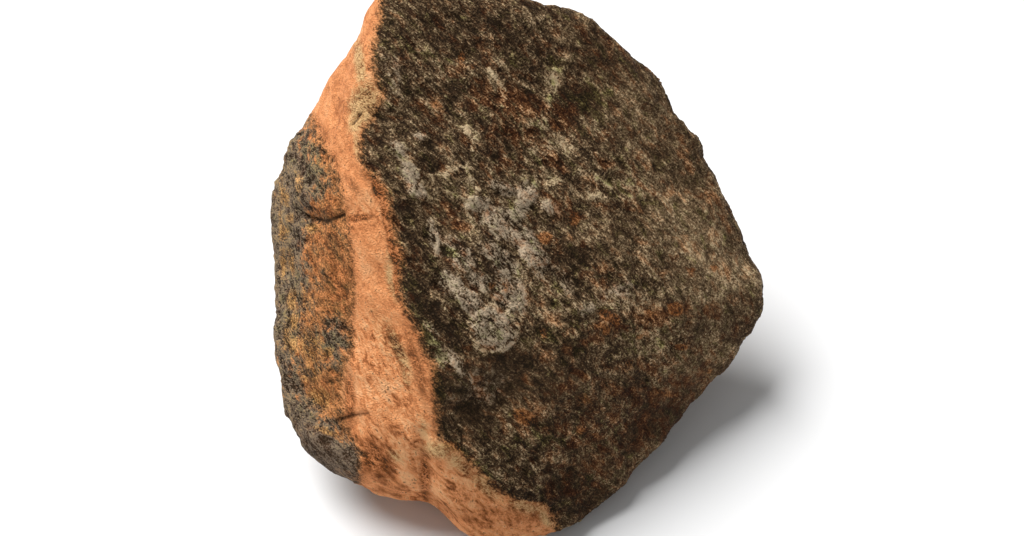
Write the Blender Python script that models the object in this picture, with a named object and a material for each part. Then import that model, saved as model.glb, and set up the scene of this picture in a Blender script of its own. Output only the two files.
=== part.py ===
"""A Martian meteorite: one whole stone that lies on a small flat spot.

The stone's corners are laid out square to the side that shows most of its broad dark face:
right and up run across that view, and out runs towards the viewer, all in millimetres from
the middle of the stone. A hull over the corners gives the facets. A fine skin over the hull
is worn round and takes the relief, and the stone is then tipped back onto its rest.
"""

import math

import bmesh
import bpy
from mathutils import Matrix, Vector, noise

MM = 0.001
NODE = "meteorite_stone"

# Driving dimensions, in millimetres and degrees.
TIP = 35.0             # how far the view's out axis stands from upright when the stone rests
REST_DROP = 123.0      # from the stone's middle straight down to the flat spot
SKIN_GRID = 3.6        # spacing of the fine skin's points
WEAR_PASSES = 20       # smoothing passes that round the corners
WEAR_LOSS = 2.0        # what those passes take off the skin, given back along its normals
SWELL_HEIGHT = 3.4     # broad swells of the surface
SWELL_SPACING = 58.0
CRAG_HEIGHT = 4.2      # shallow scoops with crisp ridges between them
CRAG_SPACING = 38.0
LUMP_HEIGHT = 1.9      # small lumps, drawn out along the stone's grain
LUMP_SPACING = 15.0
GRAIN_TURN = 42.0      # how far the grain falls to the right across the view
GRAIN_STRETCH = 2.0
LEDGE_SLOPE = 3.0      # half width of the slope down a ledge
FRONT_LEAN = 0.33      # ledges and grooves are whole where the normal's out part is this
RUBBED_HEIGHT = 9.0    # the belly is rubbed smooth this far up from the floor
FACES = 9600           # triangles left in the finished stone

TIP_BACK = Matrix.Rotation(math.radians(TIP), 4, "X")
GRAIN = Matrix.Rotation(math.radians(GRAIN_TURN), 3, "Z")

STONE_COLOUR = (0.075, 0.055, 0.038, 1.0)
STONE_ROUGHNESS = 0.72

# Corners, as (right, up, out). The outline goes clockwise from the top of the ridge.
OUTLINE = (
    (-83, 180, 37),
    (-40, 183, 29),
    (12, 176, 12),
    (51, 170, -4),
    (63, 161, -8),         # right shoulder
    (95, 131, -20),
    (129, 85, -31),
    (138, 57, -35),
    (158, 4, -45),
    (173, -12, -51),       # right corner
    (174, -29, -53),
    (155, -45, -52),
    (130, -89, -44),
    (103, -119, -36),
    (63, -157, -24),
    (42, -174, -18),
    (23, -181, -10),       # foot of the ridge
    (-18, -183, 2),
    (-34, -163, 4),
    (-56, -150, 2),
    (-82, -145, -4),
    (-121, -133, -12),     # lower left corner
    (-143, -119, -16),
    (-153, -103, -20),
    (-151, -74, -24),
    (-153, -28, -29),
    (-161, 12, -31),
    (-161, 48, -31),       # left corner
    (-156, 65, -29),
    (-143, 91, -20),
    (-120, 130, -4),
    (-96, 149, 14),
)

# The ridge between the broad dark face and the orange band, from its top to its foot.
RIDGE = (
    (-93, 133, 51),
    (-100, 88, 56),
    (-92, 59, 60),
    (-76, 34, 62),
    (-69, 2, 62),
    (-56, -40, 60),
    (-47, -84, 53),
    (-46, -110, 45),
    (-20, -132, 31),
    (5, -154, 16),
)

# The crease between the upper and the lower part of the dark face.
CREASE = (
    (24, -54, 38),
    (71, -29, 17),
    (112, -16, -9),
)

# Where the orange band turns over to the left side.
BAND_EDGE = (
    (-116, 76, 24),
    (-105, 5, 32),
    (-103, -40, 32),
    (-95, -99, 28),
    (-90, -132, 14),
)

# The rear edge of the narrow wall behind the outline, clockwise from the top.
BACK_RIM = (
    (-63, 171, 4),
    (0, 169, -14),
    (47, 153, -26),
    (88, 114, -42),
    (126, 61, -56),
    (153, 2, -70),
    (146, -46, -72),
    (110, -90, -62),
    (66, -138, -42),
    (28, -167, -24),
    (-18, -170, -17),
    (-72, -138, -30),
    (-120, -114, -44),
    (-142, -61, -54),
    (-150, 10, -58),
    (-148, 53, -52),
    (-117, 102, -36),
    (-90, 139, -12),
)
BACK = (
    (-20, 114, -44),
    (46, 84, -64),
    (-86, 59, -66),
    (96, 12, -86),
    (90, -50, -88),
    (-108, -26, -82),
)

# The belly, whose tip is cut off flat where the stone rests.
BELLY = (
    (-50, -84, -88),
    (34, -92, -88),
    (50, -44, -117),
    (-30, -40, -121),
    (6, -24, -127),
)

# Dents, as (middle, half length, half width, turn in degrees, depth). A negative depth
# makes a lump.
DENTS = {
    "hollow under the slab": ((-8, -82, 40), 46, 24, 38, 6.5),
    "hollow beside the ridge": ((-36, -98, 46), 22, 14, 60, 3.0),
    "lump above the left crack": ((-128, 55, 20), 28, 17, 15, -3.0),
    "notch at the foot": ((-54, -160, 6), 28, 15, -28, 11.0),
    "notch by the right corner": ((158, 5, -42), 10, 10, 0, 6.0),
    "dip in the lower right edge": ((83, -134, -20), 24, 16, 50, 3.0),
    "dip in the right edge": ((131, 74, -34), 16, 12, 0, 3.0),
    "dip in the upper left edge": ((-100, 152, 12), 24, 14, 50, 4.0),
    "broad dip of the dark face": ((30, 50, 20), 60, 34, -35, 3.0),
    "chip off the top rim": ((-14, 172, -10), 26, 16, 0, 5.0),
    "chip off the upper right rim": ((100, 104, -46), 24, 16, -50, 5.0),
    "chip off the left rim": ((-134, 84, -42), 22, 15, 60, 5.0),
    "chip off the lower left rim": ((-136, -84, -52), 26, 14, -60, 5.0),
    "chip off the right wall": ((142, -22, -76), 26, 18, 80, 6.0),
    "scoop in the upper back": ((40, 116, -52), 48, 30, -25, 8.0),
    "scoop in the left back": ((-96, 20, -80), 44, 26, 70, 7.0),
    "scoop in the underside": ((74, -98, -72), 40, 24, -20, 6.0),
    "lump in the back": ((-20, 70, -76), 36, 22, 30, -6.0),
}

# Ledges in the front, as (line of (right, up), height, reach above, reach below). A ledge
# stands proud on the left of its line.
LEDGES = {
    "end of the grey slab": (
        ((-42, 14), (-40, -8), (-35, -20), (-27, -28), (-26, -43), (-19, -53), (-8, -54),
         (2, -49), (6, -40)),
        4.0, 52, 11),
    "left crack": (((-134, 41), (-126, 37), (-120, 32), (-115, 36), (-106, 39)), 4.5, 26, 18),
    "low crack": (((-115, -100), (-105, -98), (-93, -94)), 3.0, 12, 12),
}

# Grooves in the front, as (line of (right, up), half width, depth).
GROOVES = {
    "crease above the foot notch": (((-57, -108), (-57, -128), (-55, -152)), 9.0, 3.5),
}


def corner_hull():
    """The convex hull over the corners."""
    hull = bmesh.new()
    for corner in OUTLINE + RIDGE + CREASE + BAND_EDGE + BACK_RIM + BACK + BELLY:
        hull.verts.new(corner)
    result = bmesh.ops.convex_hull(hull, input=hull.verts)
    inside = [item for item in result["geom_interior"] if isinstance(item, bmesh.types.BMVert)]
    bmesh.ops.delete(hull, geom=inside, context="VERTS")
    return hull


def through_modifiers(shape, modifiers):
    """Takes a bmesh, and returns it as it comes out of (type, settings) modifiers."""
    mesh = bpy.data.meshes.new("working")
    shape.to_mesh(mesh)
    shape.free()
    holder = bpy.data.objects.new("working", mesh)
    bpy.context.collection.objects.link(holder)
    for kind, settings in modifiers:
        modifier = holder.modifiers.new(kind.title(), kind)
        for name, value in settings.items():
            setattr(modifier, name, value)
    depsgraph = bpy.context.evaluated_depsgraph_get()
    result = bmesh.new()
    result.from_mesh(holder.evaluated_get(depsgraph).to_mesh())
    bpy.data.objects.remove(holder)
    bpy.data.meshes.remove(mesh)
    return result


def worn_skin(hull):
    """A fine even skin over the hull, worn round at its edges."""
    skin = through_modifiers(hull, [
        ("REMESH", {"mode": "VOXEL", "voxel_size": SKIN_GRID}),
        ("SMOOTH", {"factor": 0.5, "iterations": WEAR_PASSES}),
    ])
    skin.normal_update()
    for vertex in skin.verts:
        vertex.co += vertex.normal * WEAR_LOSS
    return skin


def faded(distance, reach):
    """1 at no distance, falling smoothly to 0 at reach."""
    left = max(0.0, 1.0 - (distance / reach) ** 2)
    return left * left


def nearest_on_line(line, place):
    """The distance across the view from a place to a line, and the side it is on.

    The side is 1 on the left of the line and -1 on its right, and passes smoothly from one
    to the other round the line's ends.
    """
    here = place.xy
    nearest, side = math.inf, 0.0
    for start, end in zip(line, line[1:]):
        start = Vector(start)
        run = Vector(end) - start
        along = min(1.0, max(0.0, (here - start).dot(run) / run.length_squared))
        offset = here - start - run * along
        if 0.0 < offset.length < nearest:
            nearest = offset.length
            side = run.cross(offset) / (run.length * offset.length)
    return nearest, side


def dent_depth(place, middle, half_length, half_width, turn, depth):
    """How deep one dent is at a place."""
    offset = place - Vector(middle)
    flat = Matrix.Rotation(-math.radians(turn), 2) @ offset.xy
    away = math.hypot(flat.x / half_length, flat.y / half_width, offset.z / (half_length + half_width))
    return depth * faded(away, 1.0)


def ledge_rise(place, line, height, above, below):
    """How far one ledge lifts or sinks the front at a place."""
    distance, side = nearest_on_line(line, place)
    step = side * min(1.0, distance / LEDGE_SLOPE)
    return 0.5 * height * step * faded(distance, above if side > 0.0 else below)


def groove_depth(place, line, half_width, depth):
    """How deep one groove is at a place."""
    distance, _ = nearest_on_line(line, place)
    return depth * faded(distance, half_width)


def weathering(place):
    """How far the stone's swells, crags and lumps stand out at a place."""
    grain = GRAIN @ place
    grain.x /= GRAIN_STRETCH
    rise = SWELL_HEIGHT * noise.noise(place / SWELL_SPACING)
    rise += CRAG_HEIGHT * (noise.turbulence(grain / CRAG_SPACING, 2, True) - 0.5)
    rise += LUMP_HEIGHT * noise.noise(grain / LUMP_SPACING)
    return rise


def height(place):
    """How high a place comes to lie above the floor."""
    return (TIP_BACK @ place).z + REST_DROP


def relief(place, normal):
    """How far the skin moves outwards at a place."""
    rise = weathering(place) * min(1.0, max(0.0, height(place) / RUBBED_HEIGHT))
    rise -= sum(dent_depth(place, *dent) for dent in DENTS.values())
    front = min(1.0, max(0.0, normal.z / FRONT_LEAN))
    if front > 0.0:
        rise += front * sum(ledge_rise(place, *ledge) for ledge in LEDGES.values())
        rise -= front * sum(groove_depth(place, *groove) for groove in GROOVES.values())
    return rise


def carve(skin):
    """Moves the skin by its relief."""
    skin.normal_update()
    moves = [vertex.normal * relief(vertex.co, vertex.normal) for vertex in skin.verts]
    for vertex, move in zip(skin.verts, moves):
        vertex.co += move


def thinned(skin):
    """The skin in about FACES triangles, small at the edges and larger where it is flat."""
    share = FACES / (2 * len(skin.faces))
    return through_modifiers(skin, [
        ("SMOOTH", {"factor": 0.5, "iterations": 1}),
        ("TRIANGULATE", {}),
        ("DECIMATE", {"decimate_type": "COLLAPSE", "ratio": share}),
    ])


def lay_to_rest(stone):
    """Tips the stone back, brings it to metres and cuts its belly off flat at the floor."""
    lift = Matrix.Translation((0.0, 0.0, REST_DROP))
    bmesh.ops.transform(stone, matrix=Matrix.Scale(MM, 4) @ lift @ TIP_BACK, verts=stone.verts)
    cut = bmesh.ops.bisect_plane(
        stone, geom=stone.verts[:] + stone.edges[:] + stone.faces[:],
        plane_co=(0.0, 0.0, 0.0), plane_no=(0.0, 0.0, 1.0), clear_inner=True)
    rim = [item for item in cut["geom_cut"] if isinstance(item, bmesh.types.BMEdge)]
    bmesh.ops.holes_fill(stone, edges=rim, sides=0)
    bmesh.ops.triangulate(stone, faces=stone.faces)
    bmesh.ops.recalc_face_normals(stone, faces=stone.faces)


def stone_material():
    """The stone's mean colour and finish."""
    material = bpy.data.materials.new("stone")
    material.use_nodes = True
    shader = material.node_tree.nodes["Principled BSDF"]
    shader.inputs["Base Color"].default_value = STONE_COLOUR
    shader.inputs["Roughness"].default_value = STONE_ROUGHNESS
    shader.inputs["Metallic"].default_value = 0.0
    return material


def build():
    for old in list(bpy.data.objects):
        bpy.data.objects.remove(old)
    skin = worn_skin(corner_hull())
    carve(skin)
    stone = thinned(skin)
    lay_to_rest(stone)
    mesh = bpy.data.meshes.new(NODE)
    stone.to_mesh(mesh)
    stone.free()
    mesh.materials.append(stone_material())
    mesh.shade_smooth()
    bpy.context.collection.objects.link(bpy.data.objects.new(NODE, mesh))


build()
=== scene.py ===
"""Dresses a packed Martian meteorite: its fine surface, its weathered colours and a studio.

It is laid out as an add-on whose panel lists one operator for the stone and one for the studio.
Run as a script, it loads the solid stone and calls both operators.
"""

import math

import bmesh
import bpy
import numpy as np
from bpy.props import FloatProperty, FloatVectorProperty, PointerProperty
from bpy.types import Operator, Panel, PropertyGroup
from mathutils import Matrix, Vector, noise


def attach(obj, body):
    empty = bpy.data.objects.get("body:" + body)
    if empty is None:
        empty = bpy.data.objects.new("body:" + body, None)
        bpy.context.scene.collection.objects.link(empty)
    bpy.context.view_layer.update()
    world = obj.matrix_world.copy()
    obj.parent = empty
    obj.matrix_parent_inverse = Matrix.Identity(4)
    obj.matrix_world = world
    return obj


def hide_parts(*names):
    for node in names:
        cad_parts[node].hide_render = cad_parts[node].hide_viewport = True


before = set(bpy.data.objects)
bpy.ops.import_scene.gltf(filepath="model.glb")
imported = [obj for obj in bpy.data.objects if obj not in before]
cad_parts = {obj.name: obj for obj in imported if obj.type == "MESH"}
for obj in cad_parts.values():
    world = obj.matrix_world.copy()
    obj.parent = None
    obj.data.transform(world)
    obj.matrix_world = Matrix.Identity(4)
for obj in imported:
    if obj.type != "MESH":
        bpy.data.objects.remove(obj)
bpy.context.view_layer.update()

bl_info = {
    "name": "Martian meteorite",
    "version": (1, 0, 0),
    "blender": (4, 5, 0),
    "location": "3D View > Sidebar > Meteorite",
    "description": "The fine surface, the weathered colours and the studio of a Martian meteorite",
    "category": "Object",
}

NODE = "meteorite_stone"
PIECE = "stone_surface"
MM = 0.001

# The photo's view. Right and up run across it and out runs towards the viewer.
PHOTO = (1024, 536)                      # its size in pixels
PHOTO_SCALE = 1.52                       # pixels in a millimetre at the stone's middle
ELEVATION = math.radians(55.0)
DISTANCE = 1.7                           # from the camera to the stone's middle
MIDDLE = Vector((0.0, 0.0, 0.123))       # the stone's middle
RIGHT = Vector((1.0, 0.0, 0.0))
UP = Vector((0.0, math.sin(ELEVATION), math.cos(ELEVATION)))
OUT = RIGHT.cross(UP)
VIEW = Matrix((RIGHT, UP, OUT))
SENSOR = 36.0                            # the camera's sensor width in millimetres

KEY_AZIMUTH = math.radians(-49.0)        # where the key light stands, turned from +Y towards +X
KEY_HEIGHT = math.radians(53.5)          # and how high above the floor
FLOOR_RADIUS = 60.0                      # in metres, far past the view
FLOOR_SIDES = 96

WELD = 0.01 * MM                         # loose corners closer than this are one
EVENING = 6                              # passes that smooth the grid's steps away
DIP_PASSES = 14                          # passes of evening that the dips are measured from
FLOOR_FADE = (0.3, 6.0)                  # heights, in mm, between which the relief sets in

# Distances on the photo, in its pixels, and the reach of a mark as a share of its size.
COAT_FADE = 20.0                         # over which the coat's mask fades
STAIN_FADE = 30.0                        # over which its last stains fade
SLOPE_FADE = 12.0                        # over which the slope gives way to the dark face
LINE_FADE = 1.8                          # over which a crack or a thread fades
MARK_REACH = 1.4

# Directions across the view, in degrees turned from right towards up.
GRAIN_TURN = -42.0                       # the dark face's grain
BAND_TURN = -74.0                        # the orange band

# Lines down the photo, as (x, y) in its pixels.
BAND_RIGHT = (                           # where the orange coat ends beside the dark face
    (380, -20), (377, 20), (371, 40), (369, 60), (371, 75), (378, 90), (377, 104), (371, 112),
    (366, 122), (359, 133), (357, 158), (364, 170), (374, 180), (383, 190), (387, 210), (392, 242),
    (400, 256), (396, 282), (400, 305), (417, 332), (421, 350), (430, 364), (432, 398), (436, 440),
    (452, 447), (462, 456), (482, 479), (502, 494), (515, 500), (538, 502), (550, 514), (557, 545))
BAND_LEFT = (                            # where the coat stops being whole on the left
    (340, -20), (324, 60), (308, 100), (314, 116), (320, 132), (334, 160), (341, 180), (347, 208),
    (351, 232), (353, 262), (357, 296), (351, 320), (355, 345), (350, 360), (345, 380), (346, 420),
    (353, 436), (366, 452), (362, 472), (362, 545))
SPECKLED_LEFT = (                        # where the last stains of it end
    (330, -20), (296, 100), (300, 118), (306, 150), (312, 180), (306, 210), (302, 240), (300, 280),
    (292, 310), (288, 350), (296, 380), (308, 410), (330, 432), (352, 446), (360, 470), (362, 545))
CRACKS = (
    ((306, 215), (316, 219), (326, 222), (336, 218), (344, 215)),
    ((338, 420), (352, 416), (367, 414)),
    ((352, 124), (361, 113)),
    ((452, 416), (460, 430), (463, 442)),
)
VEINS = (                                # thin pale threads in the crust
    ((489, 69), (498, 80), (505, 99)),
    ((553, 70), (556, 90), (549, 96), (546, 119)),
    ((466, 128), (474, 138), (471, 152)),
    ((466, 166), (470, 178), (478, 190)),
    ((430, 176), (452, 172), (462, 166)),
    ((595, 176), (600, 196), (590, 196)),
    ((470, 196), (468, 214), (474, 226)),
    ((432, 218), (438, 240), (436, 256)),
    ((468, 322), (472, 338), (477, 349), (487, 353), (503, 349), (514, 341), (517, 328)),
    ((468, 322), (481, 311), (492, 303), (504, 309), (514, 318)),
    ((448, 350), (456, 366), (463, 376)),
    ((450, 412), (458, 424), (462, 440)),
)

# Marks on the photo, as (x, y, half length, half width, turn, strength): the middle and the
# size in its pixels, and the direction of the length in degrees.
# Grey plates, whose pale grey on the dark face is partly a painted sheen.
GREY_AND_SHEEN_MARKS = (
    (410, 172, 12, 8, -50, 1.0), (416, 189, 12, 8, -40, 1.1), (420, 137, 8, 6, 0, 0.7),
    (398, 150, 12, 9, -40, 0.7), (392, 70, 30, 12, -80, 0.45), (434, 238, 20, 7, -78, 0.9),
    (452, 285, 18, 11, -50, 1.2), (470, 301, 16, 11, -50, 1.1), (493, 329, 24, 17, -45, 1.4),
    (480, 282, 14, 10, -30, 1.0), (506, 296, 18, 11, -70, 1.0), (478, 205, 14, 10, 0, 0.9),
    (503, 188, 16, 7, -20, 1.0), (514, 215, 12, 9, 0, 0.9), (526, 197, 10, 16, -20, 1.2),
    (528, 247, 20, 10, -80, 1.3), (500, 225, 30, 18, -40, 0.7), (540, 262, 20, 12, -70, 0.7),
    (550, 208, 14, 8, -20, 0.7), (520, 298, 16, 6, -80, 1.0), (460, 255, 22, 14, -50, 0.8),
    (500, 262, 30, 14, -50, 0.8), (456, 363, 17, 5, -62, 1.0), (432, 332, 16, 5, -60, 0.7),
    (585, 310, 14, 9, 30, 0.6), (560, 280, 24, 14, -40, 0.5), (620, 290, 26, 10, 20, 0.5),
    (330, 458, 36, 14, -28, 1.0), (292, 215, 34, 10, -80, 0.8), (334, 340, 16, 26, 0, 1.0),
    (286, 300, 9, 60, 0, 0.5), (304, 430, 30, 12, -40, 0.8), (296, 170, 10, 40, 20, 0.6),
    (482, 388, 36, 24, 20, 0.45), (434, 345, 44, 8, -62, 0.45), (290, 240, 14, 50, 0, 0.3),
)
# Dark crust, with painted shade among it: in the hollow below the grey tongue, in the trough beside
# the coat, under the ledges and above the left crack.
DARK_AND_SHADE_MARKS = (
    (404, 206, 19, 9, -70, 1.0), (428, 305, 38, 12, -68, 1.2), (452, 331, 22, 12, -55, 1.2),
    (428, 166, 14, 11, -20, 0.8), (459, 172, 8, 10, 0, 0.9), (490, 152, 16, 8, 0, 0.7),
    (560, 164, 18, 9, -20, 0.7), (556, 192, 12, 7, -10, 0.8), (575, 206, 14, 9, -20, 0.8),
    (620, 206, 24, 6, -8, 1.0), (582, 100, 26, 14, 0, 0.8), (588, 58, 18, 16, -20, 0.7),
    (500, 30, 40, 12, -8, 0.6), (420, 20, 34, 10, -10, 0.5), (582, 254, 22, 8, 0, 0.8),
    (444, 42, 30, 12, -20, 0.4), (495, 380, 52, 30, 10, 0.4), (462, 402, 34, 26, -70, 0.8),
    (520, 362, 44, 10, 12, 0.7), (582, 345, 40, 8, 22, 0.6), (444, 406, 44, 7, -82, 0.8),
    (562, 490, 44, 24, 20, 0.9), (620, 450, 60, 22, 38, 0.6), (590, 500, 30, 20, 30, 0.7),
    (610, 395, 40, 20, 20, 0.4), (668, 300, 5, 5, 0, 1.2), (560, 378, 40, 14, 10, 0.5),
    (467, 324, 16, 3, -62, 1.0), (498, 358, 20, 4, 4, 1.0), (490, 272, 16, 5, -50, 0.8),
    (573, 144, 5, 4, 0, 1.2), (592, 140, 26, 2.5, -20, 0.5), (300, 164, 18, 8, -80, 0.6),
    (298, 232, 12, 7, -60, 0.9), (322, 222, 16, 4, 10, 0.6), (332, 340, 14, 24, 0, 0.8),
    (326, 213, 16, 6, -10, 0.8), (398, 348, 24, 5, -68, 1.0), (406, 385, 8, 4, -50, 0.9),
    (357, 104, 20, 5, 70, 0.3), (425, 480, 22, 4, -88, 0.8), (472, 472, 26, 6, -42, 0.7),
    (508, 495, 22, 6, -25, 0.8), (440, 458, 12, 5, -20, 0.6), (376, 458, 26, 17, -50, 1.6),
    (318, 165, 26, 40, 0, 0.4), (328, 456, 44, 20, -35, 1.0), (300, 160, 20, 34, 20, 0.5),
    (448, 508, 22, 10, -20, 0.6), (400, 492, 20, 6, -20, 0.5), (410, 60, 40, 12, -60, 0.3),
    (438, 225, 10, 6, 0, 0.6),
)
PALE_MARKS = (
    (497, 62, 9, 14, 20, 0.7), (472, 70, 10, 6, -30, 0.8), (497, 76, 11, 4, -50, 0.9),
    (553, 78, 9, 10, 0, 1.3), (543, 128, 8, 7, 0, 1.3), (562, 144, 20, 9, -25, 1.9),
    (470, 132, 11, 8, -20, 1.0), (550, 182, 11, 4, 0, 1.9), (572, 56, 10, 4, -15, 0.8),
    (615, 185, 18, 5, -5, 1.4), (437, 106, 8, 4, -20, 0.8), (472, 210, 12, 9, 0, 0.7),
    (600, 130, 26, 5, -25, 0.6), (650, 136, 16, 6, -20, 0.4), (590, 175, 22, 8, -30, 0.5),
    (530, 200, 12, 14, 0, 0.5), (690, 240, 90, 60, -40, 0.6), (735, 278, 44, 30, -20, 0.8),
    (505, 205, 44, 22, -20, 0.6), (640, 300, 90, 16, 8, 1.0), (590, 205, 50, 30, -30, 0.6),
    (535, 140, 44, 26, -30, 0.5), (640, 140, 60, 40, -60, 0.35), (690, 296, 60, 12, 8, 0.8),
    (580, 296, 40, 18, 10, 0.4), (640, 350, 50, 34, 10, 0.35), (700, 350, 30, 20, 50, 0.35),
    (600, 250, 40, 30, -40, 0.5), (600, 440, 8, 8, 0, 0.6), (600, 465, 60, 30, 32, 0.3),
    (510, 412, 12, 8, 0, 0.4), (450, 396, 8, 4, 0, 0.9), (286, 240, 10, 60, 0, 0.9),
    (480, 300, 40, 22, -50, 0.3), (380, 388, 24, 10, -10, 0.6), (402, 466, 8, 18, 10, 0.6),
    (452, 470, 24, 10, -40, 0.6), (364, 152, 8, 26, 0, 0.3), (388, 262, 7, 20, 0, 0.5),
    (493, 330, 24, 18, -45, 0.8), (453, 284, 20, 12, -60, 0.8), (478, 299, 8, 8, 0, 0.6),
    (525, 200, 24, 14, -30, 0.5), (474, 203, 14, 16, -60, 0.7), (528, 250, 20, 10, -80, 0.6),
    (411, 174, 22, 10, -55, 0.5), (392, 80, 30, 12, -80, 0.3), (365, 175, 6, 9, 0, 0.3),
    (640, 296, 24, 6, 8, 0.5), (528, 345, 14, 7, -10, 0.5),
)
# Rust stains; the one at (328, 208) is painted shade above the left crack.
RUST_AND_SHADE_MARKS = (
    (515, 108, 30, 22, -20, 1.0), (484, 98, 22, 14, -30, 0.8), (520, 135, 30, 12, -10, 0.9),
    (555, 112, 24, 14, 0, 0.8), (572, 128, 26, 8, -20, 0.8), (455, 72, 18, 12, -30, 0.6),
    (432, 112, 20, 8, -20, 0.6), (444, 208, 14, 9, 0, 0.8), (460, 226, 18, 7, -10, 0.9),
    (510, 165, 22, 12, 0, 0.6), (575, 218, 9, 8, 0, 0.9), (560, 205, 22, 10, -20, 0.7),
    (380, 192, 10, 13, -20, 1.2), (390, 204, 20, 5, -85, 0.9), (397, 250, 16, 6, -75, 1.1),
    (345, 284, 30, 9, -88, 0.8), (604, 60, 30, 22, -50, 0.4), (615, 166, 24, 8, -10, 0.5),
    (560, 392, 24, 10, 10, 0.5), (600, 408, 36, 16, 10, 0.5), (566, 428, 50, 9, 0, 0.6),
    (600, 470, 60, 26, 32, 0.5), (630, 420, 90, 50, 30, 0.5), (650, 320, 60, 12, 10, 0.7),
    (690, 375, 40, 14, 45, 0.5), (612, 322, 18, 9, 30, 0.8), (580, 346, 30, 5, 22, 0.8),
    (600, 275, 26, 12, 0, 0.5), (400, 484, 40, 12, -25, 0.8), (455, 512, 30, 12, -20, 0.8),
    (545, 160, 16, 10, 0, 0.5), (710, 200, 60, 12, -60, 0.3), (395, 165, 26, 8, -60, 0.3),
    (374, 172, 14, 6, -40, 0.8), (338, 280, 12, 28, 0, 1.0), (318, 250, 18, 24, 0, 0.5),
    (325, 388, 22, 14, 0, 0.6), (328, 208, 16, 10, 0, 0.6),
)
OLIVE_MARKS = (
    (410, 50, 30, 10, -20, 0.7), (450, 252, 10, 6, 0, 1.0), (430, 340, 44, 9, -62, 1.0),
    (436, 380, 30, 8, -85, 0.9), (555, 70, 14, 22, 0, 0.3), (590, 98, 24, 18, 0, 0.7),
    (630, 190, 34, 12, -10, 0.5), (480, 470, 36, 8, -45, 1.0), (540, 300, 24, 16, 0, 0.5),
    (560, 334, 30, 10, 10, 0.6), (540, 440, 40, 14, 0, 0.5), (660, 340, 50, 20, 20, 0.2),
    (468, 110, 16, 6, -10, 0.6), (296, 320, 10, 7, 0, 0.8), (338, 312, 12, 12, 0, 0.5),
    (410, 290, 40, 8, -70, 0.7), (366, 100, 10, 18, 0, 0.4), (500, 50, 30, 14, -20, 0.3),
    (312, 160, 22, 36, 10, 0.6), (335, 335, 20, 28, 0, 0.7), (290, 310, 12, 50, 0, 0.5),
)
FLECKS = (                               # small spots of bare orange
    (462, 57, 4, 5, 0, 1.0), (473, 67, 4, 3, 0, 0.8), (436, 105, 7, 4, -20, 0.8),
    (545, 238, 7, 6, 0, 1.3), (574, 219, 6, 7, 0, 1.2), (610, 317, 12, 5, -30, 1.8),
    (606, 330, 4, 5, 0, 1.4), (675, 309, 7, 6, -20, 2.2), (650, 313, 8, 5, -30, 0.8),
    (714, 268, 5, 4, 0, 0.9), (692, 270, 4, 3, 0, 0.8), (681, 347, 6, 3, 0, 1.5),
    (640, 337, 4, 3, 0, 0.7), (709, 371, 5, 4, 0, 0.7), (664, 393, 9, 3, -20, 0.6),
    (524, 417, 12, 7, -20, 1.4), (600, 326, 10, 4, 0, 0.6), (544, 334, 4, 6, 0, 0.8),
    (581, 430, 6, 5, 0, 0.8), (586, 400, 9, 6, -20, 0.6), (629, 362, 4, 4, 0, 0.7),
    (505, 288, 4, 6, 0, 0.8), (491, 286, 4, 4, 0, 0.7), (455, 228, 8, 4, 0, 0.6),
    (452, 446, 10, 5, -20, 1.0), (555, 128, 6, 4, 0, 0.6), (595, 437, 4, 5, 0, 0.5),
    (313, 228, 6, 5, 0, 1.2), (293, 218, 5, 6, 0, 0.8), (284, 232, 6, 10, 0, 0.9),
    (286, 196, 5, 12, 20, 0.9), (292, 262, 5, 14, 10, 0.9), (294, 322, 6, 10, 0, 0.9),
    (284, 262, 4, 18, 0, 0.9), (292, 300, 6, 12, 0, 0.9), (287, 336, 5, 14, 0, 0.8),
    (300, 185, 5, 12, 0, 0.6), (310, 345, 12, 22, 10, 0.7), (293, 346, 5, 10, 0, 0.9),
    (329, 352, 5, 5, 0, 1.2), (320, 398, 14, 10, -40, 0.8), (328, 432, 16, 4, -20, 0.8),
    (310, 375, 12, 10, 0, 0.6), (282, 205, 3, 40, 0, 0.6), (305, 300, 10, 16, 0, 0.5),
)
SMOOTH_MARKS = (                         # where the crust is worn smooth
    (495, 382, 60, 36, 10, 1.0), (462, 404, 34, 28, -70, 1.0), (560, 385, 50, 24, 10, 0.7),
    (640, 110, 110, 50, -55, 0.7), (700, 230, 100, 56, -60, 0.8), (720, 300, 60, 50, 0, 0.7),
    (600, 240, 50, 40, 0, 0.3), (680, 400, 110, 34, 50, 1.0), (600, 470, 60, 40, 40, 0.6),
    (620, 400, 80, 50, 30, 0.4), (328, 456, 44, 20, -35, 1.3), (580, 345, 40, 10, 22, 0.5),
)
MARGIN_MARKS = (                         # the cream margin of the coat
    (360, 64, 26, 6, -84, 1.0), (364, 104, 22, 14, 75, 1.3), (357, 122, 12, 8, 60, 1.0),
    (357, 145, 16, 4, -85, 0.7), (391, 256, 12, 4, -80, 0.9), (395, 292, 12, 4, -75, 0.8),
    (396, 345, 26, 5, -68, 0.8), (406, 378, 14, 4, -70, 0.6), (395, 456, 10, 6, -40, 0.7),
    (458, 462, 24, 9, -40, 0.7), (488, 487, 24, 9, -40, 0.7), (528, 507, 24, 9, -15, 0.7),
    (545, 518, 14, 6, -50, 0.8), (438, 450, 18, 9, -10, 0.9), (390, 278, 20, 5, -80, 0.8),
    (402, 355, 24, 6, -65, 0.8), (424, 430, 16, 5, -80, 0.5), (380, 330, 30, 8, -70, 0.3),
)
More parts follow.
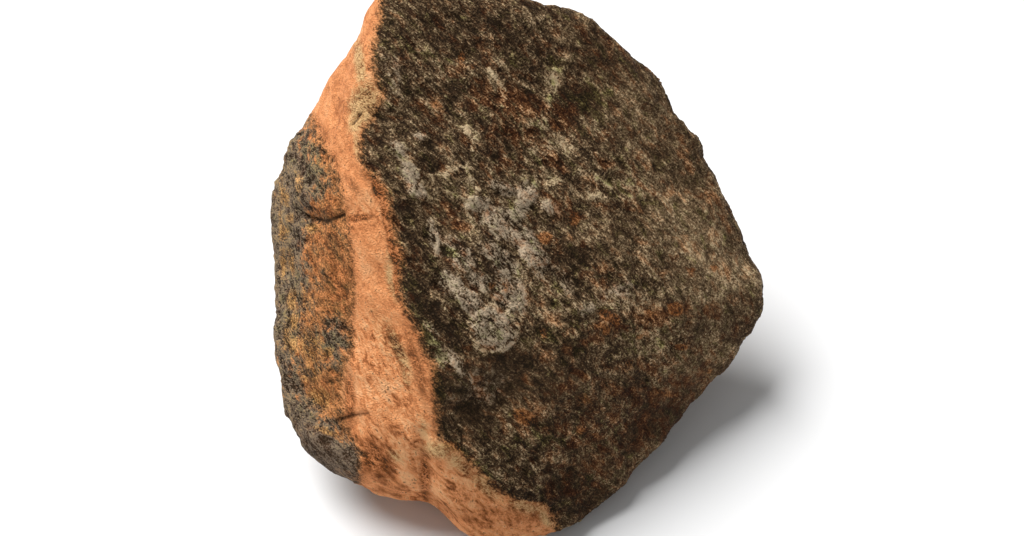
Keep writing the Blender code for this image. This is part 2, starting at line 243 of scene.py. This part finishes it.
STAIN_AND_SHADE_MARKS = (                          # where rust darkens the coat, and painted shade in a dip near its foot
    (382, 190, 16, 9, -70, 1.9), (389, 216, 24, 7, -80, 1.7), (395, 250, 20, 7, -75, 1.5),
    (398, 284, 20, 5, -85, 1.2), (358, 218, 16, 4, 5, 1.2), (352, 184, 16, 6, -50, 0.7),
    (370, 176, 14, 8, -30, 0.8), (340, 208, 12, 6, 0, 0.6), (372, 458, 16, 16, 0, 0.8),
    (400, 300, 16, 4, -70, 0.7), (415, 334, 14, 4, -60, 0.7), (434, 400, 40, 4, -86, 0.7),
    (352, 300, 40, 5, -88, 0.6), (350, 398, 30, 6, -88, 0.9), (350, 275, 36, 6, -88, 0.8),
    # The mark at (425, 477) is painted shade in a dip of the coat.
    (417, 368, 50, 7, -75, 0.7), (425, 477, 28, 6, -88, 1.0), (500, 512, 40, 10, -15, 0.4),
    (322, 128, 20, 5, -60, 0.6), (470, 516, 40, 8, -14, 0.4),
)
BRUSHED_MARKS = (                        # where the coat is streaked
    (385, 375, 60, 40, -70, 1.0), (400, 440, 50, 40, -60, 1.0), (470, 500, 80, 30, -25, 1.0),
    (365, 215, 24, 8, 0, 0.8), (365, 60, 40, 6, -80, 0.5),
)

RUST_TINT = (1.25, 0.64, 0.32)           # what a rust stain makes of the crust's colour
OLIVE_TINT = (0.76, 0.96, 0.52)          # and an olive one
YELLOW_TINT = (1.15, 1.5, 1.5)           # and what the slope makes of a bare spot
MARGIN_STRAW = (0.48, 0.275, 0.115)      # the margin's own colour
MARGIN_CREAM = (0.74, 0.47, 0.22)        # and its palest grains
STAIN_SHADE = (0.090, 0.042, 0.016)      # the speckled stain in its dips
STAIN_BROWN = (0.24, 0.100, 0.036)       # and between its grains
COAT_SHADE = (0.46, 0.16, 0.055)         # the orange coat in its dips
SLOPE_GREY = (0.165, 0.118, 0.084)       # the crust between the stains left of the coat


class StoneSizes(PropertyGroup):
    """Sizes of the stone's fine relief."""

    grid: FloatProperty(
        name="Grid", description="Spacing of the fine surface's points",
        default=1.95 * MM, min=1.9 * MM, max=6.0 * MM, precision=4, subtype="DISTANCE", unit="LENGTH")
    lump_height: FloatProperty(
        name="Lumps", description="Height of the small lumps",
        default=1.1 * MM, min=0.0, max=4.0 * MM, precision=4, subtype="DISTANCE", unit="LENGTH")
    grain_height: FloatProperty(
        name="Grain", description="Height of the ridges along the stone's grain",
        default=0.8 * MM, min=0.0, max=4.0 * MM, precision=4, subtype="DISTANCE", unit="LENGTH")
    pit_depth: FloatProperty(
        name="Pits", description="Depth of the small pits in the crust",
        default=0.9 * MM, min=0.0, max=4.0 * MM, precision=4, subtype="DISTANCE", unit="LENGTH")
    plate_height: FloatProperty(
        name="Plates", description="How far the grey plates stand proud",
        default=1.2 * MM, min=0.0, max=4.0 * MM, precision=4, subtype="DISTANCE", unit="LENGTH")
    crack_depth: FloatProperty(
        name="Cracks", description="Depth of the cracks",
        default=1.6 * MM, min=0.0, max=5.0 * MM, precision=4, subtype="DISTANCE", unit="LENGTH")
    grit_height: FloatProperty(
        name="Grit", description="Height of the grit that only the shading shows",
        default=1.0 * MM, min=0.0, max=3.0 * MM, precision=4, subtype="DISTANCE", unit="LENGTH")


class StoneColours(PropertyGroup):
    """The stone's colours."""

    dark: FloatVectorProperty(
        name="Pits", description="The near black of the pits", subtype="COLOR", size=3,
        default=(0.021, 0.0115, 0.0050), min=0.0, max=1.0)
    umber: FloatVectorProperty(
        name="Umber", description="The crust's darker brown", subtype="COLOR", size=3,
        default=(0.047, 0.0255, 0.0115), min=0.0, max=1.0)
    brown: FloatVectorProperty(
        name="Brown", description="The crust's middle brown", subtype="COLOR", size=3,
        default=(0.090, 0.053, 0.025), min=0.0, max=1.0)
    tan: FloatVectorProperty(
        name="Tan", description="The pale grains of the crust", subtype="COLOR", size=3,
        default=(0.182, 0.119, 0.064), min=0.0, max=1.0)
    straw: FloatVectorProperty(
        name="Straw", description="The palest grains of the crust", subtype="COLOR", size=3,
        default=(0.33, 0.225, 0.118), min=0.0, max=1.0)
    cream: FloatVectorProperty(
        name="Cream", description="The palest flecks and threads", subtype="COLOR", size=3,
        default=(0.64, 0.48, 0.29), min=0.0, max=1.0)
    grey: FloatVectorProperty(
        name="Grey", description="The grey plates", subtype="COLOR", size=3,
        default=(0.24, 0.176, 0.108), min=0.0, max=1.0)
    # The plates' palest grains, partly a painted sheen.
    silver_and_sheen: FloatVectorProperty(
        name="Silver", description="The plates' palest grains", subtype="COLOR", size=3,
        default=(0.56, 0.44, 0.31), min=0.0, max=1.0)
    rust: FloatVectorProperty(
        name="Rust", description="Rust stains in the crust", subtype="COLOR", size=3,
        default=(0.20, 0.060, 0.014), min=0.0, max=1.0)
    ochre: FloatVectorProperty(
        name="Ochre", description="Stains beside the orange coat", subtype="COLOR", size=3,
        default=(0.43, 0.185, 0.062), min=0.0, max=1.0)
    orange: FloatVectorProperty(
        name="Orange", description="The weathered orange coat", subtype="COLOR", size=3,
        default=(0.75, 0.295, 0.112), min=0.0, max=1.0)
    peach: FloatVectorProperty(
        name="Peach", description="The coat's palest streaks", subtype="COLOR", size=3,
        default=(0.86, 0.43, 0.20), min=0.0, max=1.0)


class StudioSettings(PropertyGroup):
    """The studio's light and floor."""

    key_strength: FloatProperty(
        name="Key", description="Strength of the key light", default=4.6, min=0.0)
    key_spread: FloatProperty(
        name="Key spread", description="How wide the key light looks from the stone",
        default=math.radians(42.0), min=0.0, max=math.pi, subtype="ANGLE", unit="ROTATION")
    fill_strength: FloatProperty(
        name="Fill", description="Strength of the light all round", default=0.27, min=0.0)
    floor_colour: FloatVectorProperty(
        name="Floor", description="Colour of the floor", subtype="COLOR", size=3,
        default=(0.85, 0.85, 0.85), min=0.0, max=1.0)


class Wire:
    """A socket of a material, whose sums and products add the nodes that work them out."""

    def __init__(self, tree, socket):
        self.tree = tree
        self.socket = socket

    def node(self, kind, settings, sockets, output=0):
        """Adds a node with its settings, and values or wires for its sockets."""
        node = self.tree.nodes.new(kind)
        for name, value in settings.items():
            if name == "stops":
                set_stops(node.color_ramp, value)
            else:
                setattr(node, name, value)
        for name, value in sockets.items():
            if isinstance(value, Wire):
                self.tree.links.new(value.socket, node.inputs[name])
            else:
                node.inputs[name].default_value = value
        return Wire(self.tree, node.outputs[output])

    def math(self, operation, first, second):
        return self.node("ShaderNodeMath", {"operation": operation}, {0: first, 1: second})

    def __add__(self, other):
        return self.math("ADD", self, other)

    def __radd__(self, other):
        return self.math("ADD", other, self)

    def __sub__(self, other):
        return self.math("SUBTRACT", self, other)

    def __rsub__(self, other):
        return self.math("SUBTRACT", other, self)

    def __mul__(self, other):
        return self.math("MULTIPLY", self, other)

    def __rmul__(self, other):
        return self.math("MULTIPLY", other, self)

    def step(self, low, high):
        """0 up to low, 1 from high on, and smooth between them."""
        return self.node("ShaderNodeMapRange", {"interpolation_type": "SMOOTHSTEP"},
                         {"Value": self, "From Min": low, "From Max": high})

    def mixed(self, first, second, blend="MIX"):
        """The first colour where this is 0 and the second where it is 1."""
        settings = {"data_type": "RGBA", "blend_type": blend}
        return self.node("ShaderNodeMix", settings, {0: self, 6: opaque(first), 7: opaque(second)}, 2)


def opaque(colour):
    """A colour with the fourth number that colour sockets take."""
    return colour if isinstance(colour, Wire) else (*colour, 1.0)


def set_stops(ramp, stops):
    """Gives a colour ramp its (place, colour) stops."""
    while len(ramp.elements) < len(stops):
        ramp.elements.new(1.0)
    for element, (place, colour) in zip(ramp.elements, stops):
        element.position = place
        element.color = (*colour, 1.0)


class Surface:
    """A mesh's points as arrays, laid out along the photo's view.

    place and facing hold right, up and out parts, in millimetres and as unit normals. photo
    holds where the camera shows each point, in pixels, and links the edges' point numbers.
    """

    def __init__(self, mesh):
        count = len(mesh.vertices)
        places = np.empty(count * 3, np.float32)
        normals = np.empty(count * 3, np.float32)
        links = np.empty(len(mesh.edges) * 2, np.int32)
        mesh.vertices.foreach_get("co", places)
        mesh.vertices.foreach_get("normal", normals)
        mesh.edges.foreach_get("vertices", links)
        across = np.array(VIEW).T
        self.height = places.reshape(-1, 3)[:, 2] / MM
        self.place = (places.reshape(-1, 3) - np.array(MIDDLE)) @ across / MM
        self.facing = normals.reshape(-1, 3) @ across
        self.links = links.reshape(-1, 2)
        nearness = DISTANCE / (DISTANCE - self.place[:, 2] * MM)
        x = PHOTO[0] / 2 + PHOTO_SCALE * self.place[:, 0] * nearness
        y = PHOTO[1] / 2 - PHOTO_SCALE * self.place[:, 1] * nearness
        self.photo = np.stack((x, y), axis=1)
        self.front = smooth(self.facing[:, 2], -0.25, 0.05)

    def evened(self, values, passes):
        """The values spread evenly between neighbouring points, a number of times over."""
        first, second = self.links.T
        count = len(values)
        degree = np.bincount(first, minlength=count) + np.bincount(second, minlength=count)
        for _ in range(passes):
            total = np.bincount(first, values[second], count)
            total += np.bincount(second, values[first], count)
            values = 0.5 * values + 0.5 * total / degree
        return values

    def noise(self, size, turn=0.0, stretch=1.0, octaves=1, seed=0.0):
        """Smooth noise of a size in millimetres, drawn out along a direction across the view."""
        turned = Matrix.Rotation(math.radians(turn), 3, "Z")
        scaled = (self.place @ np.array(turned)) / (size * stretch, size, size) + seed
        return np.array([noise.fractal(Vector(p), 1.0, 2.0, octaves) for p in scaled])

    def patches(self, patches):
        """How strongly soft patches on the photo cover each point."""
        cover = np.zeros(len(self.photo))
        for x, y, length, width, turn, strength in patches:
            c, s = math.cos(math.radians(turn)), math.sin(math.radians(turn))
            right, down = (self.photo - (x, y)).T
            away = np.hypot((right * c - down * s) / length, (right * s + down * c) / width)
            cover = np.maximum(cover, strength * np.clip(MARK_REACH - away, 0.0, 1.0))
        return cover * self.front

    def near(self, line):
        """How far each point lies from a line on the photo, in pixels."""
        nearest = np.full(len(self.photo), np.inf)
        for start, end in zip(line, line[1:]):
            run = np.subtract(end, start)
            along = np.clip((self.photo - start) @ run / (run @ run), 0.0, 1.0)
            offset = self.photo - start - along[:, None] * run
            nearest = np.minimum(nearest, np.hypot(*offset.T))
        return nearest

    def lines(self, lines, reach):
        """How strongly thin lines on the photo cover each point."""
        covers = [np.clip(reach - self.near(line) / LINE_FADE, 0.0, 1.0) for line in lines]
        return self.front * np.max(covers, axis=0)

    def right_of(self, line):
        """How far each point lies to the right of a line down the photo, in pixels."""
        xs, ys = np.array(line, float).T
        return self.photo[:, 0] - np.interp(self.photo[:, 1], ys, xs)


def smooth(values, low, high):
    """0 up to low, 1 from high on, and smooth between them."""
    share = np.clip((values - low) / (high - low), 0.0, 1.0)
    return share * share * (3.0 - 2.0 * share)


def copied_solid():
    """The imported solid's mesh as a bmesh, with its loose triangles joined."""
    form = bmesh.new()
    form.from_mesh(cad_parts[NODE].data)
    bmesh.ops.remove_doubles(form, verts=form.verts, dist=WELD)
    return form


def fine_mesh(form, grid):
    """An even fine mesh over a form, its facets smoothed away."""
    mesh = bpy.data.meshes.new(PIECE)
    form.to_mesh(mesh)
    form.free()
    piece = bpy.data.objects.new(PIECE, mesh)
    bpy.context.collection.objects.link(piece)
    remesh = piece.modifiers.new("Grid", "REMESH")
    remesh.mode = "VOXEL"
    remesh.voxel_size = grid
    depsgraph = bpy.context.evaluated_depsgraph_get()
    fine = bmesh.new()
    fine.from_mesh(piece.evaluated_get(depsgraph).to_mesh())
    piece.modifiers.clear()
    for _ in range(EVENING):
        bmesh.ops.smooth_vert(fine, verts=fine.verts, factor=0.5,
                              use_axis_x=True, use_axis_y=True, use_axis_z=True)
    bmesh.ops.recalc_face_normals(fine, faces=fine.faces)
    fine.to_mesh(mesh)
    fine.free()
    mesh.shade_smooth()
    return piece


def wild_patches(surface, size, seed, low=0.12, high=0.34):
    """Patches for the sides that the photo doesn't show."""
    return (1.0 - surface.front) * smooth(surface.noise(size, octaves=3, seed=seed), low, high)


def paint_masks(surface):
    """Where each of the stone's coats and marks lies at each point."""
    border = -surface.right_of(BAND_RIGHT)
    whole = np.minimum(border, surface.right_of(BAND_LEFT))
    speckled = np.minimum(border, surface.right_of(SPECKLED_LEFT))
    wraps = smooth(surface.facing[:, 2], -0.85, -0.45)
    hidden = 1.0 - surface.front
    # Pale marks lift the tone and dark marks lower it, partly as painted shade.
    pale = surface.patches(PALE_MARKS) - surface.patches(DARK_AND_SHADE_MARKS)
    return {
        "coat": np.clip(whole / COAT_FADE, -1.0, 1.0) - 2.0 * (1.0 - wraps),
        "speckled": np.clip(speckled / STAIN_FADE, -1.0, 1.0) - 2.0 * (1.0 - wraps),
        "weathered": np.clip(0.5 + border / SLOPE_FADE, 0.0, 1.0),
        "pale": pale + 0.5 * hidden * surface.noise(45.0, octaves=3, seed=4.0),
        "grey": surface.patches(GREY_AND_SHEEN_MARKS) + 0.8 * wild_patches(surface, 42.0, 11.0, 0.22, 0.46),
        "rust": surface.patches(RUST_AND_SHADE_MARKS) + 0.7 * wild_patches(surface, 50.0, 23.0),
        "olive": surface.patches(OLIVE_MARKS) + 0.4 * wild_patches(surface, 36.0, 31.0),
        "fleck": surface.patches(FLECKS) + wild_patches(surface, 26.0, 47.0, 0.3, 0.5),
        "margin": surface.patches(MARGIN_MARKS),
        "brushed": surface.patches(BRUSHED_MARKS),
        # Rust stains on the coat, with painted shade in a dip near its foot.
        "stain": surface.patches(STAIN_AND_SHADE_MARKS),
        "worn": np.clip(surface.patches(SMOOTH_MARKS) + 0.3 * hidden, 0.0, 1.0),
        "vein": surface.lines(VEINS, 1.6),
        "crack": surface.lines(CRACKS, 1.5),
    }


def fine_relief(surface, masks, sizes):
    """How far each point of the stone moves outwards, in millimetres."""
    coat = smooth(masks["coat"], -0.3, 0.3)
    hollow = surface.patches(SMOOTH_MARKS)
    rough = (1.0 - 0.75 * coat) * (1.0 - 0.7 * hollow)
    lumps = surface.noise(13.0, GRAIN_TURN, 1.4, 4)
    ridges = 1.0 - 2.0 * np.abs(surface.noise(5.0, GRAIN_TURN, 3.0, 2, 7.0))
    pits = smooth(surface.noise(5.0, GRAIN_TURN, 2.2, 2, 5.0), 0.15, 0.45)
    rise = rough * (sizes.lump_height * lumps + sizes.grain_height * ridges - sizes.pit_depth * pits)
    plates = smooth(masks["grey"] + 0.7 * surface.noise(9.0, -55.0, 1.3, 2, 3.0), 0.35, 0.75)
    rise += sizes.plate_height * plates - sizes.crack_depth * masks["crack"]
    return rise / MM * smooth(surface.height, *FLOOR_FADE)


def build_stone(sizes, colours):
    """Builds the fine surface, moves its points by the relief and stores its masks."""
    piece = fine_mesh(copied_solid(), sizes.grid)
    mesh = piece.data
    surface = Surface(mesh)
    masks = paint_masks(surface)
    rise = fine_relief(surface, masks, sizes)
    # The relief mask is above 0.5 on rises and below it in dips; the colours use it as painted light
    # on rises and painted shade in dips.
    masks["relief"] = np.clip(0.5 + 0.5 * (rise - surface.evened(rise, DIP_PASSES)), 0.0, 1.0)
    normals = np.empty(len(mesh.vertices) * 3, np.float32)
    places = np.empty(len(mesh.vertices) * 3, np.float32)
    mesh.vertices.foreach_get("normal", normals)
    mesh.vertices.foreach_get("co", places)
    places = places.reshape(-1, 3) + normals.reshape(-1, 3) * (rise * MM)[:, None]
    places[:, 2] = np.maximum(places[:, 2], 0.0)
    mesh.vertices.foreach_set("co", places.astype(np.float32).ravel())
    for name, values in masks.items():
        attribute = mesh.attributes.new(name, "FLOAT", "POINT")
        attribute.data.foreach_set("value", values.astype(np.float32))
    mesh.update()
    mesh.materials.append(stone_material(sizes, colours))
    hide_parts(NODE)
    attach(piece, "root")
    return piece


class StonePaint:
    """The noises and masks that the stone's colours are mixed from, and the mixing."""

    def __init__(self, tree, colours):
        self.colours = colours
        self.at = Wire(tree, tree.nodes.new("ShaderNodeTexCoord").outputs["Object"])
        self.broad = self.grains(60.0, 34.0)
        self.clots = self.grains(16.0, 7.0, twist=0.6, detail=3.0)
        self.blobs = self.grains(5.5, 2.6, twist=0.4)
        self.grit = self.grains(1.9, 1.1, detail=1.0)
        self.hue = self.grains(13.0, 7.0, detail=4.0, rough=0.7, twist=0.4)
        self.ragged = self.clots * 0.6 + self.blobs * 0.7 + self.grit * 0.6
        # Painted shade in the relief's dips and painted light on its rises.
        self.relief = self.mask("relief") - 0.5
        # The pale mask is lowered by the dark marks, partly a painted shade.
        self.pale = self.mask("pale")
        self.gap = 1.0 - self.rims(19.0, 11.0, -58.0).step(0.0, 0.09)
        self.texture = self.rock()
        # The relief term paints the dips darker and the rises paler, as shade and light.
        self.tone = self.texture + self.broad * 0.5 + self.relief * 0.35 + self.pale * 0.25 + 0.50

    def mask(self, name):
        """One of the masks that the mesh holds."""
        return self.at.node("ShaderNodeAttribute", {"attribute_name": name}, {}, "Fac")

    def drawn(self, length, width, turn):
        """The place, scaled to a length along a direction and a width, in millimetres."""
        turned = Matrix.Rotation(math.radians(turn), 3, "Z")
        lie = (VIEW.transposed() @ turned).to_euler()
        return self.at.node("ShaderNodeMapping", {"vector_type": "TEXTURE"}, {
            "Vector": self.at, "Rotation": lie, "Scale": (length * MM, width * MM, width * MM)})

    def grains(self, length, width, turn=GRAIN_TURN, detail=2.0, rough=0.6, twist=0.0):
        """Noise about 0 whose grains have a length along a direction and a width."""
        return self.at.node("ShaderNodeTexNoise", {}, {
            "Vector": self.drawn(length, width, turn), "Scale": 1.0, "Detail": detail,
            "Roughness": rough, "Distortion": twist}) - 0.5

    def rims(self, length, width, turn):
        """How far a point lies from the edge of its plate, among uneven plates."""
        drawn = self.drawn(length, width, turn)
        bends = self.at.node("ShaderNodeTexNoise", {}, {
            "Vector": drawn, "Scale": 1.6, "Detail": 2.0}, "Color")
        bent = self.at.node("ShaderNodeVectorMath", {"operation": "ADD"}, {0: drawn, 1: bends})
        return self.at.node("ShaderNodeTexVoronoi", {"feature": "DISTANCE_TO_EDGE"}, {
            "Vector": bent, "Scale": 1.0})

    def ramp(self, amount, *stops):
        """A colour read from (place, colour) stops."""
        return self.at.node("ShaderNodeValToRGB", {"stops": stops}, {"Fac": amount})

    def rock(self):
        """The light and dark of the stone's grains, threads and cracks."""
        dust = self.grains(1.2, 0.9, 30.0, detail=0.0)
        hairs = self.grains(7.0, 1.1, -34.0, twist=1.0).step(0.02, 0.12)
        cross = self.grains(5.0, 1.1, 44.0, twist=1.0).step(0.03, 0.13)
        rock = self.clots * 1.35 + self.blobs * 1.1 + self.grit * 1.05 + dust * 0.7
        rock = rock + hairs * 0.22 + cross * 0.15
        rock = (rock - 0.07 - self.gap * 0.06) * (1.0 - self.mask("worn") * 0.4)
        threads = self.mask("vein") * (0.42 + self.blobs * 1.4)
        return rock + threads - self.mask("crack") * 0.25

    def crust(self):
        """The dark face's grains, with the grey plates among them, whose palest grains are partly a
        painted sheen.
        """
        colours = self.colours
        crust = self.ramp(
            self.tone, (0.10, colours.dark), (0.30, colours.umber), (0.50, colours.brown),
            (0.66, colours.tan), (0.84, colours.straw), (1.0, colours.cream))
        # The plates' ramp rises to the painted sheen at its top.
        plates = self.ramp(
            self.tone * 0.95 - self.gap * 0.28 + 0.11,
            (0.12, colours.dark), (0.34, colours.umber), (0.54, colours.grey),
            (0.82, colours.silver_and_sheen))
        plated = self.mask("grey") + self.clots * 0.8 + self.blobs * 0.5
        plated = (plated - self.gap * 0.2).step(0.20, 0.70)
        return (plated * 0.75).mixed(crust, plates)

    def slope(self):
        """The crust left of the coat, and the rusty stain that speckles it."""
        colours = self.colours
        # Here too the relief term paints shade in dips and light on rises.
        tone = self.texture + self.broad * 0.3 + self.relief * 0.4 + self.pale * 0.19 + 0.58
        bare = self.ramp(
            tone, (0.10, colours.dark), (0.32, colours.umber), (0.54, SLOPE_GREY),
            (0.70, colours.grey), (0.90, colours.straw))
        stain = self.ramp(
            tone - 0.07, (0.10, STAIN_SHADE), (0.40, STAIN_BROWN), (0.66, colours.ochre),
            (1.0, colours.orange))
        stained = self.mask("speckled") * 0.5 + self.hue * 1.8 + self.clots
        stained = stained + self.blobs * 0.8 + self.grit * 0.4
        stained = (stained + self.mask("rust") * 0.5 - self.mask("grey") * 0.6).step(-0.10, 0.50)
        return stained.mixed(bare, stain), stain

    def ground(self):
        """The stone outside the coat, tinted by rust and olive, with the stain at its edge; one rust
        mark above the left crack is painted shade.
        """
        slope, stain = self.slope()
        weathered = self.mask("weathered")
        ground = weathered.step(0.3, 0.7).mixed(self.crust(), slope)
        # Rust tint, with painted shade above the left crack.
        rusty_and_shaded = (self.mask("rust") * 0.5 + self.hue * 3.0).step(0.0, 0.60)
        rusty_and_shaded = rusty_and_shaded * (0.75 - weathered * 0.45) * (1.3 - self.tone * 0.8)
        ground = rusty_and_shaded.mixed(ground, RUST_TINT, "MULTIPLY")
        mossy = (self.mask("olive") * 0.5 - self.hue * 3.0).step(0.10, 0.70)
        ground = (mossy * (0.8 - weathered * 0.45)).mixed(ground, OLIVE_TINT, "MULTIPLY")
        edged = (self.mask("coat") + self.ragged).step(-0.50, 0.0)
        return (edged * 0.8).mixed(ground, stain)

    def coat(self):
        """The orange coat with its streaks, dark specks, cream margin and rust, and painted shade in
        a dip near its foot.
        """
        colours = self.colours
        fibres = self.grains(30.0, 2.6, BAND_TURN, detail=3.0, twist=0.3)
        brushed = self.mask("brushed")
        tone = (fibres * 0.7 + self.blobs * 0.8 + self.clots * 0.9) * (brushed + 0.12)
        tone = tone + self.grit * 0.3 + self.broad * 0.5 + self.clots * 0.5
        tone = tone + self.hue * 0.5 + self.pale * 0.2 + 0.61
        coat = self.ramp(
            tone, (0.0, colours.umber), (0.22, colours.rust), (0.42, COAT_SHADE),
            (0.6, colours.orange), (0.9, colours.peach))
        specks = self.grains(2.4, 1.8, detail=1.0, twist=0.4)
        specks = (specks + self.clots * 0.4 + self.blobs * 0.3 + brushed * 0.03).step(0.20, 0.27)
        coat = (specks * 0.7).mixed(coat, colours.umber)
        margin = self.ramp(
            self.texture + self.pale * 0.3 + 0.60, (0.10, colours.umber), (0.26, STAIN_BROWN),
            (0.50, MARGIN_STRAW), (0.90, MARGIN_CREAM))
        coat = (self.mask("margin") + self.ragged * 0.9).step(0.0, 1.0).mixed(coat, margin)
        # Rust, and painted shade in a dip near the coat's foot.
        rust_and_shade = self.ramp(
            self.texture + 0.44, (0.10, colours.umber), (0.32, colours.rust),
            (0.54, COAT_SHADE), (0.90, colours.orange))
        return (self.mask("stain") + self.ragged * 0.9).step(0.1, 0.9).mixed(coat, rust_and_shade)

    def colour(self):
        """The whole stone's colour: the ground, the coat, the bare spots and the cracks."""
        colours = self.colours
        coated = (self.mask("coat") + self.ragged * 0.8).step(-0.24, 0.16)
        colour = coated.mixed(self.ground(), self.coat())
        spot = self.ramp(
            self.texture + 0.36, (0.1, colours.umber), (0.34, colours.rust),
            (0.60, colours.ochre), (0.95, colours.orange))
        spot = self.mask("weathered").mixed(spot, YELLOW_TINT, "MULTIPLY")
        bare = (self.mask("fleck") + self.ragged * 1.3).step(0.15, 0.95)
        colour = (bare * 0.85).mixed(colour, spot)
        cracked = (self.mask("crack") + self.ragged * 1.1).step(0.45, 1.3)
        return (cracked * 0.75).mixed(colour, colours.dark)


def stone_material(sizes, colours):
    """The weathered stone: its colours, and the grit that only the shading shows."""
    material = bpy.data.materials.new("weathered_stone")
    material.use_nodes = True
    tree = material.node_tree
    shader = tree.nodes["Principled BSDF"]
    paint = StonePaint(tree, colours)
    bump = paint.at.node("ShaderNodeBump", {}, {
        "Strength": 1.0, "Distance": sizes.grit_height, "Height": paint.texture})
    tree.links.new(paint.colour().socket, shader.inputs["Base Color"])
    tree.links.new(bump.socket, shader.inputs["Normal"])
    shader.inputs["Roughness"].default_value = 0.75
    shader.inputs["Specular IOR Level"].default_value = 0.1
    return material


def build_floor(settings):
    """A plain round floor, far wider than the view."""
    ground = bmesh.new()
    bmesh.ops.create_circle(ground, cap_ends=True, segments=FLOOR_SIDES, radius=FLOOR_RADIUS)
    mesh = bpy.data.meshes.new("floor")
    ground.to_mesh(mesh)
    ground.free()
    floor = bpy.data.objects.new("floor", mesh)
    bpy.context.collection.objects.link(floor)
    paint = bpy.data.materials.new("floor_paint")
    paint.use_nodes = True
    shader = paint.node_tree.nodes["Principled BSDF"]
    shader.inputs["Base Color"].default_value = (*settings.floor_colour, 1.0)
    shader.inputs["Roughness"].default_value = 0.9
    mesh.materials.append(paint)


def build_key(settings):
    """One wide soft light from above, behind the stone and to its left."""
    towards = Vector((
        math.sin(KEY_AZIMUTH) * math.cos(KEY_HEIGHT),
        math.cos(KEY_AZIMUTH) * math.cos(KEY_HEIGHT),
        math.sin(KEY_HEIGHT)))
    sun = bpy.data.lights.new("key", "SUN")
    sun.energy = settings.key_strength
    sun.angle = settings.key_spread
    key = bpy.data.objects.new("key", sun)
    key.rotation_euler = towards.to_track_quat("Z", "Y").to_euler()
    bpy.context.collection.objects.link(key)


def build_fill(settings):
    """An even light all round, which the camera sees as white."""
    world = bpy.data.worlds.new("surroundings")
    world.use_nodes = True
    tree = world.node_tree
    seen = Wire(tree, tree.nodes.new("ShaderNodeLightPath").outputs["Is Camera Ray"])
    strength = seen * (1.0 - settings.fill_strength) + settings.fill_strength
    background = tree.nodes["Background"]
    background.inputs["Color"].default_value = (1.0, 1.0, 1.0, 1.0)
    tree.links.new(strength.socket, background.inputs["Strength"])
    bpy.context.scene.world = world


def build_camera():
    """The camera at the photo's angle."""
    lens = bpy.data.cameras.new("camera")
    lens.sensor_width = SENSOR
    lens.lens = SENSOR * DISTANCE / (PHOTO[0] / PHOTO_SCALE * MM)
    camera = bpy.data.objects.new("camera", lens)
    camera.location = MIDDLE + OUT * DISTANCE
    camera.rotation_euler = OUT.to_track_quat("Z", "Y").to_euler()
    bpy.context.collection.objects.link(camera)
    bpy.context.scene.camera = camera


def build_studio(settings):
    """The floor, the key light, the light all round and the camera."""
    build_floor(settings)
    build_key(settings)
    build_fill(settings)
    build_camera()
    bpy.context.scene.view_settings.view_transform = "Standard"


class METEORITE_OT_stone(Operator):
    """Builds the stone's fine surface over its solid and colours it"""

    bl_idname = "meteorite.stone"
    bl_label = "Stone"

    def execute(self, context):
        build_stone(context.scene.meteorite_sizes, context.scene.meteorite_colours)
        return {"FINISHED"}


class METEORITE_OT_studio(Operator):
    """Sets up the floor, the lights and the camera"""

    bl_idname = "meteorite.studio"
    bl_label = "Studio"

    def execute(self, context):
        build_studio(context.scene.meteorite_studio)
        return {"FINISHED"}


class METEORITE_PT_panel(Panel):
    """The stone's and the studio's settings and operators"""

    bl_idname = "METEORITE_PT_panel"
    bl_label = "Martian meteorite"
    bl_space_type = "VIEW_3D"
    bl_region_type = "UI"
    bl_category = "Meteorite"

    def draw(self, context):
        for operator, groups in (
                (METEORITE_OT_stone, ("meteorite_sizes", "meteorite_colours")),
                (METEORITE_OT_studio, ("meteorite_studio",))):
            box = self.layout.box()
            for name in groups:
                group = getattr(context.scene, name)
                for setting in group.__annotations__:
                    box.prop(group, setting)
            box.operator(operator.bl_idname)


SETTINGS = {
    "meteorite_sizes": StoneSizes,
    "meteorite_colours": StoneColours,
    "meteorite_studio": StudioSettings,
}
CLASSES = (*SETTINGS.values(), METEORITE_OT_stone, METEORITE_OT_studio, METEORITE_PT_panel)


def register():
    for kind in CLASSES:
        bpy.utils.register_class(kind)
    for name, group in SETTINGS.items():
        setattr(bpy.types.Scene, name, PointerProperty(type=group))


def unregister():
    for name in SETTINGS:
        delattr(bpy.types.Scene, name)
    for kind in reversed(CLASSES):
        bpy.utils.unregister_class(kind)


def main():
    register()
    bpy.ops.meteorite.stone()
    bpy.ops.meteorite.studio()


if __name__ == "__main__":
    main()
